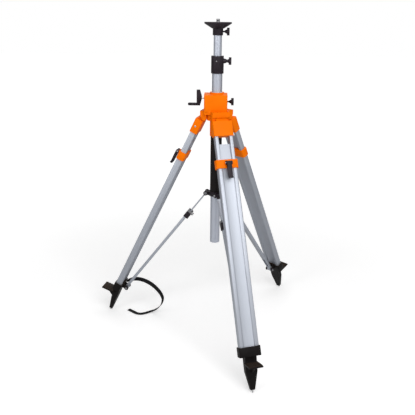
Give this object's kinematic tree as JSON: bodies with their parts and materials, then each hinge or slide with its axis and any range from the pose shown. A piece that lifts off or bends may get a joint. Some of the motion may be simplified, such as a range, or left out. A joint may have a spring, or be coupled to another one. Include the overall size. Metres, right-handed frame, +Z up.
{
  "type": "elevating tripod",
  "caption": "Surveying tripod with a crank-driven rack column, sliding inner mast, round head with a threaded stud, telescopic legs with clamps, braced by struts.",
  "frame": {"origin": "on the floor, on the column's axis, midway between the three foot tips", "axes": "+Z up along the column towards the head's stud; -Y to the front; the crank is on -X and the clamping knobs on +X"},
  "size_m": [1.0022, 1.0259, 1.4642],
  "materials": {
    "orange_casting": "glossy orange powder coat on cast aluminium",
    "aluminium": "satin anodised aluminium",
    "black_plastic": "satin black glass-filled nylon",
    "black_tube": "black anodised aluminium tube",
    "steel": "zinc-plated steel",
    "nylon": "natural acetal bearing",
    "webbing": "woven black webbing"
  },
  "bodies": {
    "stand": {"gear_housing": "orange_casting", "tripod_base": "orange_casting", "housing_bushes": "nylon", "guide_tube": "black_tube", "strut_ring": "black_plastic", "base_screws": "steel", "leg_hinge_pins": "steel"},
    "column": {"column_tube": "aluminium", "column_rack": "steel", "column_sleeve": "black_plastic"},
    "mast": {"inner_tube": "aluminium", "inner_tube_plugs": "nylon"},
    "head": {"head_plate": "black_plastic", "head_stud": "steel"},
    "crank": {"pinion_shaft": "steel", "crank_arm": "black_plastic"},
    "grip": {"crank_grip": "black_plastic"},
    "column_knob": {"column_knob": "black_plastic"},
    "sleeve_knob": {"sleeve_knob": "black_plastic"},
    "head_knob": {"head_knob": "black_plastic"},
    "upper_leg_left": {"leg_cap_left": "orange_casting", "leg_rails_left": "aluminium"},
    "lower_leg_left": {"leg_profile_left": "aluminium", "leg_clamp_left": "orange_casting", "foot_left": "black_plastic", "foot_tip_left": "steel", "carry_strap": "webbing"},
    "lever_left": {"clamp_lever_left": "black_plastic"},
    "upper_pin_left": {"upper_strut_pin_left": "steel"},
    "bar_left": {"strut_bar_left": "aluminium"},
    "lower_pin_left": {"lower_strut_pin_left": "steel"},
    "channel_left": {"strut_channel_left": "aluminium", "strut_coupling_left": "black_plastic"},
    "coupling_screw_left": {"coupling_screw_left": "steel"},
    "upper_leg_front": {"leg_cap_front": "orange_casting", "leg_rails_front": "aluminium"},
    "lower_leg_front": {"leg_profile_front": "aluminium", "leg_clamp_front": "orange_casting", "foot_front": "black_plastic", "foot_tip_front": "steel"},
    "lever_front": {"clamp_lever_front": "black_plastic"},
    "upper_pin_front": {"upper_strut_pin_front": "steel"},
    "bar_front": {"strut_bar_front": "aluminium"},
    "lower_pin_front": {"lower_strut_pin_front": "steel"},
    "channel_front": {"strut_channel_front": "aluminium", "strut_coupling_front": "black_plastic"},
    "coupling_screw_front": {"coupling_screw_front": "steel"},
    "upper_leg_right": {"leg_cap_right": "orange_casting", "leg_rails_right": "aluminium"},
    "lower_leg_right": {"leg_profile_right": "aluminium", "leg_clamp_right": "orange_casting", "foot_right": "black_plastic", "foot_tip_right": "steel"},
    "lever_right": {"clamp_lever_right": "black_plastic"},
    "upper_pin_right": {"upper_strut_pin_right": "steel"},
    "bar_right": {"strut_bar_right": "aluminium"},
    "lower_pin_right": {"lower_strut_pin_right": "steel"},
    "channel_right": {"strut_channel_right": "aluminium", "strut_coupling_right": "black_plastic"},
    "coupling_screw_right": {"coupling_screw_right": "steel"}
  },
  "joints": [
    {"name": "column_slide", "type": "slide", "parent": "stand", "child": "column", "axis": [0, 0, 1], "range_m": [-0.079, 0.3]},
    {"name": "crank_turn", "type": "hinge", "parent": "stand", "child": "crank", "pos_m": [-0.067, 0.03102, 1.13223], "axis": [1, 0, 0], "range_deg": [-1722, 456]},
    {"name": "crank_grip_spin", "type": "hinge", "parent": "crank", "child": "grip", "pos_m": [-0.108, 0.03102, 1.10323], "axis": [1, 0, 0], "continuous": true},
    {"name": "column_knob_turn", "type": "hinge", "parent": "stand", "child": "column_knob", "pos_m": [0.06, 0, 1.12023], "axis": [1, 0, 0], "range_deg": [0, 360]},
    {"name": "mast_slide", "type": "slide", "parent": "column", "child": "mast", "axis": [0, 0, 1], "range_m": [-0.083, 0.45]},
    {"name": "sleeve_knob_turn", "type": "hinge", "parent": "column", "child": "sleeve_knob", "pos_m": [0.05, 0, 1.29306], "axis": [1, 0, 0], "range_deg": [0, 360]},
    {"name": "head_swivel", "type": "hinge", "parent": "mast", "child": "head", "pos_m": [0, 0, 1.45123], "axis": [0, 0, 1], "continuous": true},
    {"name": "head_knob_turn", "type": "hinge", "parent": "head", "child": "head_knob", "pos_m": [0.03, 0, 1.41335], "axis": [1, 0, 0], "range_deg": [0, 360]},
    {"name": "leg_fold_left", "type": "hinge", "parent": "stand", "child": "upper_leg_left", "pos_m": [-0.04881, 0.01082, 1.05223], "axis": [0.2164, 0.9763, 0], "range_deg": [-23, 0], "deforming": ["carry_strap"]},
    {"name": "leg_extend_left", "type": "slide", "parent": "upper_leg_left", "child": "lower_leg_left", "axis": [-0.428, 0.0949, -0.8988], "range_m": [0, 0.33]},
    {"name": "clamp_lever_turn_left", "type": "hinge", "parent": "lower_leg_left", "child": "lever_left", "pos_m": [-0.17458, 0.03665, 0.88826], "axis": [0.2164, 0.9763, 0], "range_deg": [0, 100]},
    {"name": "strut_top_fold_left", "type": "hinge", "parent": "stand", "child": "upper_pin_left", "pos_m": [-0.04198, 0.00931, 0.69723], "axis": [0.2164, 0.9763, 0], "range_deg": [-34.53, 0]},
    {"name": "strut_top_swing_left", "type": "hinge", "parent": "upper_pin_left", "child": "bar_left", "pos_m": [-0.04198, 0.00931, 0.69723], "axis": [0.2164, 0.9763, 0], "range_deg": [-3.7, 0]},
    {"name": "strut_foot_fold_left", "type": "hinge", "parent": "lower_leg_left", "child": "lower_pin_left", "pos_m": [-0.44792, 0.0993, 0.14791], "axis": [0.2164, 0.9763, 0], "range_deg": [-11.53, 0]},
    {"name": "strut_foot_swing_left", "type": "hinge", "parent": "lower_pin_left", "child": "channel_left", "pos_m": [-0.44792, 0.0993, 0.14791], "axis": [0.2164, 0.9763, 0], "range_deg": [-3.7, 0]},
    {"name": "coupling_screw_turn_left", "type": "hinge", "parent": "channel_left", "child": "coupling_screw_left", "pos_m": [-0.1093, 0.02423, 0.58293], "axis": [0.7784, -0.1726, -0.6035], "range_deg": [0, 360]},
    {"name": "leg_fold_front", "type": "hinge", "parent": "stand", "child": "upper_leg_front", "pos_m": [0.01503, -0.04769, 1.05223], "axis": [-0.9537, -0.3007, 0], "range_deg": [-23, 0]},
    {"name": "leg_extend_front", "type": "slide", "parent": "upper_leg_front", "child": "lower_leg_front", "axis": [0.1318, -0.4181, -0.8988], "range_m": [0, 0.33]},
    {"name": "clamp_lever_turn_front", "type": "hinge", "parent": "lower_leg_front", "child": "lever_front", "pos_m": [0.05554, -0.16951, 0.88826], "axis": [-0.9537, -0.3007, 0], "range_deg": [0, 100]},
    {"name": "strut_top_fold_front", "type": "hinge", "parent": "stand", "child": "upper_pin_front", "pos_m": [0.01293, -0.04101, 0.69723], "axis": [-0.9537, -0.3007, 0], "range_deg": [-34.53, 0]},
    {"name": "strut_top_swing_front", "type": "hinge", "parent": "upper_pin_front", "child": "bar_front", "pos_m": [0.01293, -0.04101, 0.69723], "axis": [-0.9537, -0.3007, 0], "range_deg": [-3.7, 0]},
    {"name": "strut_foot_fold_front", "type": "hinge", "parent": "lower_leg_front", "child": "lower_pin_front", "pos_m": [0.13796, -0.43756, 0.14791], "axis": [-0.9537, -0.3007, 0], "range_deg": [-11.53, 0]},
    {"name": "strut_foot_swing_front", "type": "hinge", "parent": "lower_pin_front", "child": "channel_front", "pos_m": [0.13796, -0.43756, 0.14791], "axis": [-0.9537, -0.3007, 0], "range_deg": [-3.7, 0]},
    {"name": "coupling_screw_turn_front", "type": "hinge", "parent": "channel_front", "child": "coupling_screw_front", "pos_m": [0.03367, -0.10677, 0.58293], "axis": [-0.2398, 0.7604, -0.6035], "range_deg": [0, 360]},
    {"name": "leg_fold_right", "type": "hinge", "parent": "stand", "child": "upper_leg_right", "pos_m": [0.03378, 0.03686, 1.05223], "axis": [0.7373, -0.6756, 0], "range_deg": [-23, 0]},
    {"name": "leg_extend_right", "type": "slide", "parent": "upper_leg_right", "child": "lower_leg_right", "axis": [0.2962, 0.3232, -0.8988], "range_m": [0, 0.33]},
    {"name": "clamp_lever_turn_right", "type": "hinge", "parent": "lower_leg_right", "child": "lever_right", "pos_m": [0.11903, 0.13286, 0.88826], "axis": [0.7373, -0.6756, 0], "range_deg": [0, 100]},
    {"name": "strut_top_fold_right", "type": "hinge", "parent": "stand", "child": "upper_pin_right", "pos_m": [0.02905, 0.0317, 0.69723], "axis": [0.7373, -0.6756, 0], "range_deg": [-34.53, 0]},
    {"name": "strut_top_swing_right", "type": "hinge", "parent": "upper_pin_right", "child": "bar_right", "pos_m": [0.02905, 0.0317, 0.69723], "axis": [0.7373, -0.6756, 0], "range_deg": [-3.7, 0]},
    {"name": "strut_foot_fold_right", "type": "hinge", "parent": "lower_leg_right", "child": "lower_pin_right", "pos_m": [0.30996, 0.33826, 0.14791], "axis": [0.7373, -0.6756, 0], "range_deg": [-11.53, 0]},
    {"name": "strut_foot_swing_right", "type": "hinge", "parent": "lower_pin_right", "child": "channel_right", "pos_m": [0.30996, 0.33826, 0.14791], "axis": [0.7373, -0.6756, 0], "range_deg": [-3.7, 0]},
    {"name": "coupling_screw_turn_right", "type": "hinge", "parent": "channel_right", "child": "coupling_screw_right", "pos_m": [0.07564, 0.08254, 0.58293], "axis": [-0.5387, -0.5879, -0.6035], "range_deg": [0, 360]}
  ],
  "couplings": [
    {"joint": "crank_turn", "follows": "column_slide", "rad_per_m": -100},
    {"joint": "strut_top_fold_left", "follows": "leg_fold_left", "ratio": 1.497},
    {"joint": "strut_foot_fold_left", "follows": "leg_fold_left", "ratio": 0.49703},
    {"joint": "strut_top_swing_left", "follows": "leg_extend_left", "rad_per_m": -0.19025},
    {"joint": "strut_foot_swing_left", "follows": "leg_extend_left", "rad_per_m": -0.19025},
    {"joint": "strut_top_fold_front", "follows": "leg_fold_front", "ratio": 1.497},
    {"joint": "strut_foot_fold_front", "follows": "leg_fold_front", "ratio": 0.49703},
    {"joint": "strut_top_swing_front", "follows": "leg_extend_front", "rad_per_m": -0.19025},
    {"joint": "strut_foot_swing_front", "follows": "leg_extend_front", "rad_per_m": -0.19025},
    {"joint": "strut_top_fold_right", "follows": "leg_fold_right", "ratio": 1.497},
    {"joint": "strut_foot_fold_right", "follows": "leg_fold_right", "ratio": 0.49703},
    {"joint": "strut_top_swing_right", "follows": "leg_extend_right", "rad_per_m": -0.19025},
    {"joint": "strut_foot_swing_right", "follows": "leg_extend_right", "rad_per_m": -0.19025}
  ]
}
